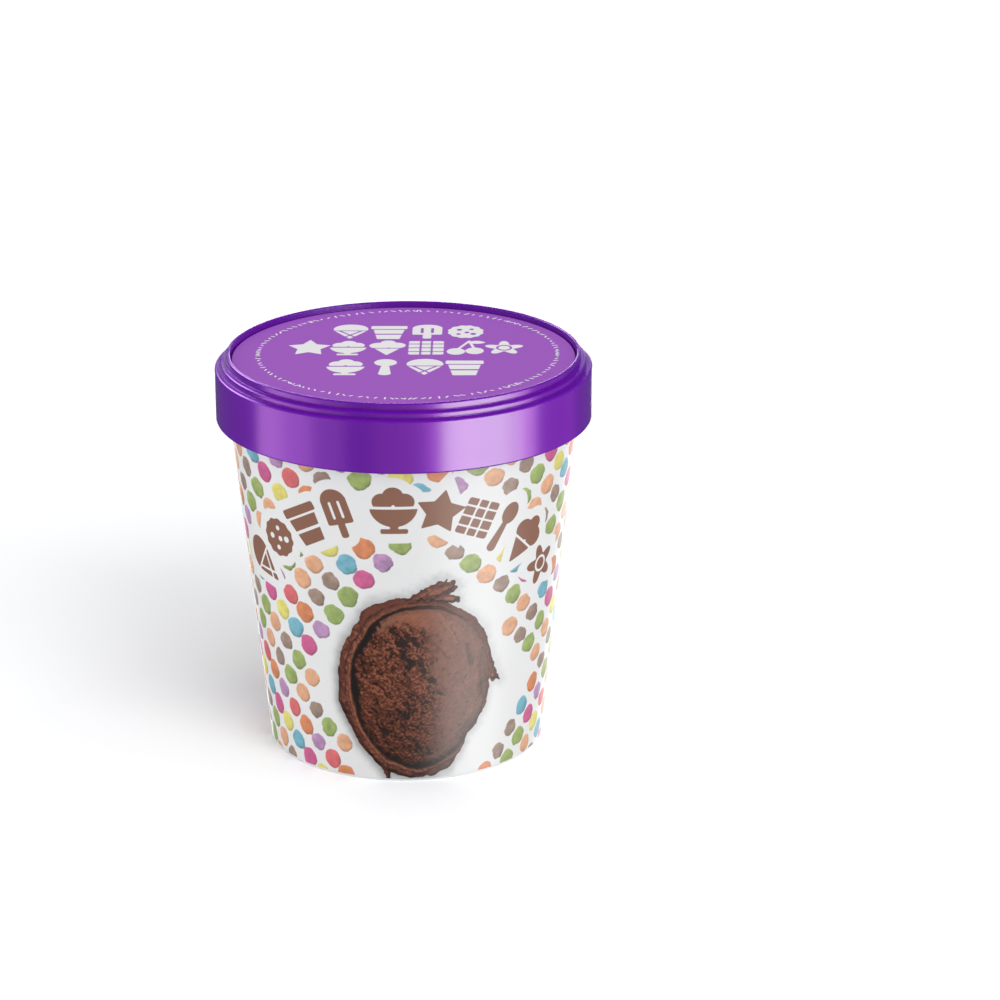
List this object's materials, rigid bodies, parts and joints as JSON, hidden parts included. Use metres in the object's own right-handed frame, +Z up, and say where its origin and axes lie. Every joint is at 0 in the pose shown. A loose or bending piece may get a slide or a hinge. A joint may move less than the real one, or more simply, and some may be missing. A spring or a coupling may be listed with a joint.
{
  "type": "ice cream tub",
  "caption": "Round paper board ice cream tub, shut with a stepped purple plastic lid; dotted print and a chocolate scoop on the front.",
  "frame": {"origin": "centre of the tub's base on the surface it stands on", "axes": "+Z up along the tub's axis of revolution; the front of the print faces -Y and the board's side seam faces +Y"},
  "size_m": [0.1, 0.1, 0.108],
  "materials": {
    "board": "white coated board under a satin varnish, printed all round",
    "base_board": "uncoated white board",
    "lid_plastic": "satin purple injection moulding",
    "label": "satin printed disc"
  },
  "bodies": {
    "root": {"cup": "board", "base_disc": "base_board", "lid": "lid_plastic", "lid_label": "label"}
  },
  "joints": []
}
